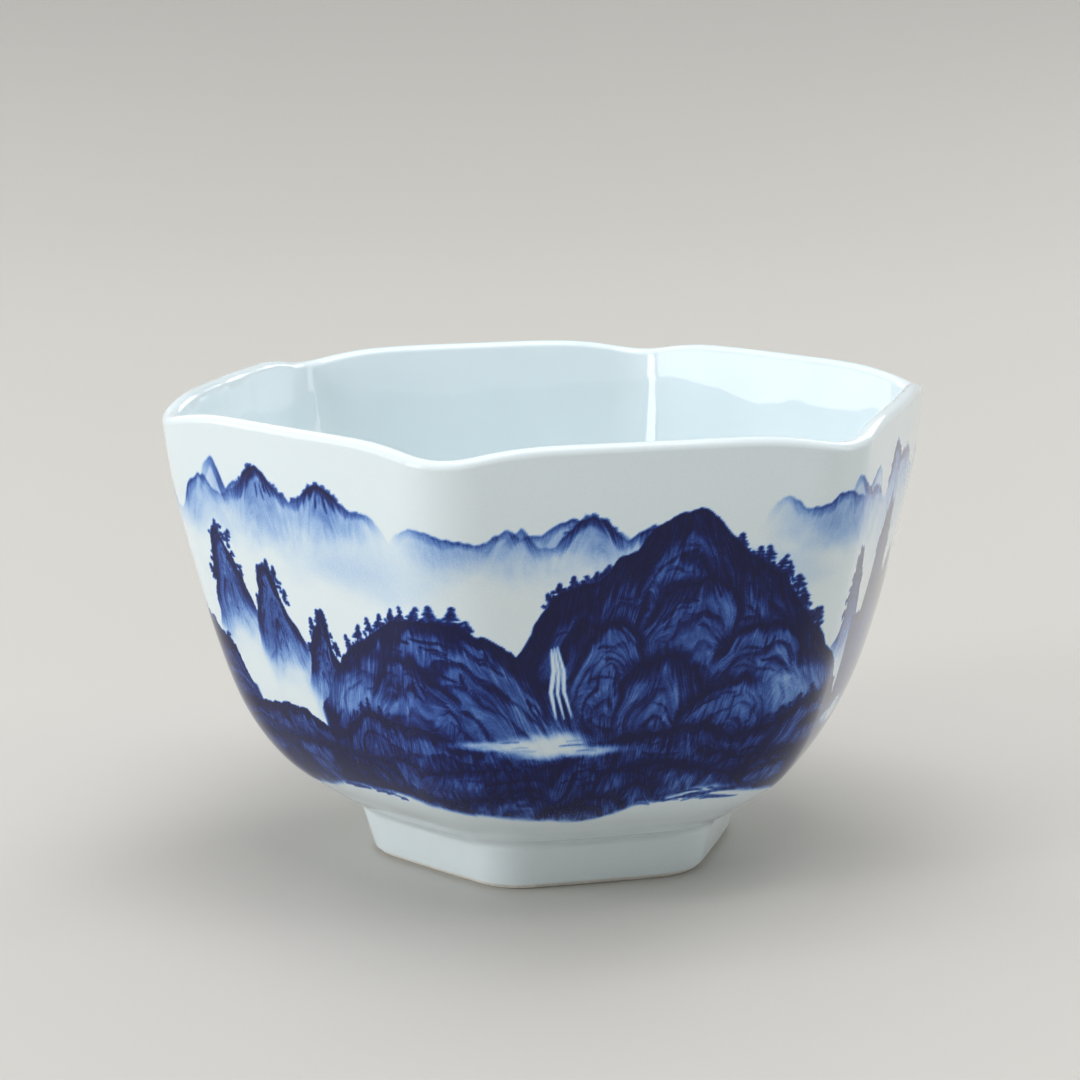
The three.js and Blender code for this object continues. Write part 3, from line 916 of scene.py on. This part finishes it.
def glaze_material(name, painted=False, rolled=False):
    """Glossy clear glaze over white porcelain, a little wavy, with the painting under it."""
    n = Nodes(name)
    waves = n.noise(90, 1)
    if painted:
        ink = n.attribute("cobalt")
        grain = n.math("SUBTRACT", n.noise(5200, 2, 0.6), 0.5)
        pools = n.math("SUBTRACT", n.noise(900, 3), 0.5)
        grainy = n.math("MULTIPLY", grain, n.math("MULTIPLY_ADD", ink, 0.3, 0.07))
        uneven = n.math("MULTIPLY", pools, n.math("MULTIPLY", ink, 0.22))
        along = n.add("ShaderNodeCombineXYZ", {
            "X": n.math("MULTIPLY", n.attribute("hatch_across"), 3.2),
            "Y": n.math("MULTIPLY", n.attribute("hatch_down"), 0.45)}).outputs["Vector"]
        brush = n.math("SUBTRACT", n.noise(1.0, 1, 0.5, along), 0.5)
        middle = n.math("MULTIPLY", n.math("MULTIPLY", ink, ink), n.math("SUBTRACT", 1.3, ink))
        hatching = n.math("MULTIPLY", brush, n.math("MULTIPLY", middle, 2.3))
        total = n.math("ADD", n.math("ADD", ink, hatching), n.math("ADD", grainy, uneven))
        total = n.math("MULTIPLY", total, 1 / 1.05, clamp=True)
        colour = n.ramp(total, [(at / 1.05, linear(c)) for at, c in COBALT])
    else:
        tint = n.noise(55, 2)
        colour = n.ramp(tint, [(0.3, linear((218, 231, 236))), (0.7, linear((224, 236, 240)))])
    # The painted coat mirrors its surroundings less, which keeps its blues deep.
    n.set(Base_Color=colour, Roughness=0.05, IOR=1.38 if painted else 1.5)
    height = n.math("MULTIPLY", waves, 0.05 * MM)
    if rolled:
        height = n.math("ADD", height, glaze_roll(n))
    n.bump(height, 1, 1)
    return n.material


def biscuit_material(name, pale, dark):
    """Bare fired clay: matt and finely grained."""
    n = Nodes(name)
    grain = n.noise(2600, 4, 0.65)
    broad = n.noise(260, 3)
    speck = n.math("MULTIPLY_ADD", grain, 0.6, n.math("MULTIPLY", broad, 0.4))
    n.set(Base_Color=n.ramp(speck, [(0.35, linear(dark)), (0.6, linear(pale))]), Roughness=0.62)
    n.bump(grain, 0.25, 0.15 * MM)
    return n.material


# ---------------------------------------------------------------------------------------------
# Stage

CAMERA_AZIMUTH = math.radians(-14.6)
CAMERA_ELEVATION = math.radians(11.27)
CAMERA_ROLL = math.radians(0.26)
CAMERA_DISTANCE = 0.3543
CAMERA_AIM_ACROSS = -1.47 * MM
CAMERA_AIM_HEIGHT = 35.8 * MM
CAMERA_LENS = 101.5


def make_floor():
    """A pale round floor that curves up gently, far away, into a plain backdrop on all sides."""
    flat, bend, sides = 0.7, 1.3, 96
    rings = [(0.4, 0.0), (flat, 0.0)]
    rings += [(flat + bend * math.sin(a), bend * (1 - math.cos(a)))
              for a in np.linspace(0, math.radians(65), 20)[1:]]
    angles = np.linspace(0, 2 * math.pi, sides, endpoint=False)
    vertices = [(r * math.cos(a), r * math.sin(a), z) for r, z in rings for a in angles]
    vertices.append((0, 0, 0))
    faces = [(k, (k + 1) % sides, len(vertices) - 1) for k in range(sides)]
    for low in range(0, sides * (len(rings) - 1), sides):
        high = low + sides
        faces += [(low + k, high + k, high + (k + 1) % sides, low + (k + 1) % sides)
                  for k in range(sides)]
    mesh = bpy.data.meshes.new("floor")
    mesh.from_pydata(vertices, [], faces)
    mesh.shade_smooth()
    floor = bpy.data.objects.new("floor", mesh)
    bpy.context.scene.collection.objects.link(floor)
    n = Nodes("floor")
    n.set(Base_Color=linear((194, 192, 187)), Roughness=0.5)
    mesh.materials.append(n.material)


def area_light(name, azimuth, elevation, distance, size, power):
    """A soft box at a direction from the cup, facing it. Azimuth 0 is in front, 90 to the right."""
    data = bpy.data.lights.new(name, "AREA")
    data.shape = "RECTANGLE"
    data.size, data.size_y = size
    data.energy = power
    light = bpy.data.objects.new(name, data)
    a, e = math.radians(azimuth), math.radians(elevation)
    away = Vector((math.sin(a) * math.cos(e), -math.cos(a) * math.cos(e), math.sin(e)))
    light.location = Vector((0, 0, HEIGHT / 2)) + away * distance
    light.rotation_mode = "QUATERNION"
    light.rotation_quaternion = away.to_track_quat("Z", "Y")
    bpy.context.scene.collection.objects.link(light)


def make_lights():
    world = bpy.data.worlds.new("studio")
    world.use_nodes = True
    background = world.node_tree.nodes["Background"]
    background.inputs["Color"].default_value = (0.93, 0.97, 1, 1)
    background.inputs["Strength"].default_value = 0.17
    scene = bpy.context.scene
    scene.world = world
    scene.view_settings.view_transform = "Standard"
    area_light("window", -104, 16, 0.9, (0.5, 0.34), 1.4)
    area_light("front_left", -72, 20, 1.0, (0.26, 0.72), 3.7)
    area_light("front_right", 70, 21, 1.0, (0.26, 0.7), 1.2)
    area_light("top", 10, 84, 1.1, (0.7, 0.7), 5.2)
    area_light("ceiling", 0, 90, 2.2, (4, 4), 40.0)
    area_light("back_right", 128, 30, 1.1, (0.5, 0.5), 2.6)
    area_light("back_left", -160, 30, 1.1, (0.4, 0.5), 1.8)


def make_camera():
    a, e, r = CAMERA_AZIMUTH, CAMERA_ELEVATION, CAMERA_ROLL
    back = Vector((math.sin(a) * math.cos(e), -math.cos(a) * math.cos(e), math.sin(e)))
    right = Vector((math.cos(a), math.sin(a), 0))
    up = back.cross(right)
    aim = right * CAMERA_AIM_ACROSS + Vector((0, 0, CAMERA_AIM_HEIGHT))
    rolled_right = right * math.cos(r) - up * math.sin(r)
    rolled_up = right * math.sin(r) + up * math.cos(r)
    data = bpy.data.cameras.new("camera")
    data.lens = CAMERA_LENS
    data.sensor_width = 36
    data.clip_start = 0.01
    camera = bpy.data.objects.new("camera", data)
    turn = Matrix((rolled_right, rolled_up, back)).transposed()
    camera.matrix_world = Matrix.Translation(aim + back * CAMERA_DISTANCE) @ turn.to_4x4()
    bpy.context.scene.collection.objects.link(camera)
    bpy.context.scene.camera = camera


def main():
    bowl, slip, ring, outer, inner, base = make_pieces()
    columns = sum(FINE) * 6
    set_painting(outer, paint(columns, len(outside)))
    unroll(outer, CREST + 1)
    biscuit = biscuit_material("biscuit", (236, 234, 228), (214, 210, 200))
    foot_biscuit = biscuit_material("foot_biscuit", (240, 238, 232), (224, 220, 211))
    slip_biscuit = biscuit_material("slip_biscuit", (228, 226, 220), (200, 198, 190))
    for piece, node, slot, material in (
        (bowl, "bowl", "porcelain", biscuit),
        (slip, "luting_slip", "fired_slip", slip_biscuit),
        (ring, "foot_ring", "biscuit_foot", foot_biscuit),
        (outer, "outer_glaze", "painted_glaze", glaze_material("painted_glaze", painted=True)),
        (inner, "inner_glaze", "clear_glaze", glaze_material("clear_glaze", rolled=True)),
        (base, "base_glaze", "base_glaze", glaze_material("base_glaze")),
    ):
        piece.data.materials.append(material)
        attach(piece, "root")
        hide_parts(node)
    make_floor()
    make_lights()
    make_camera()


main()
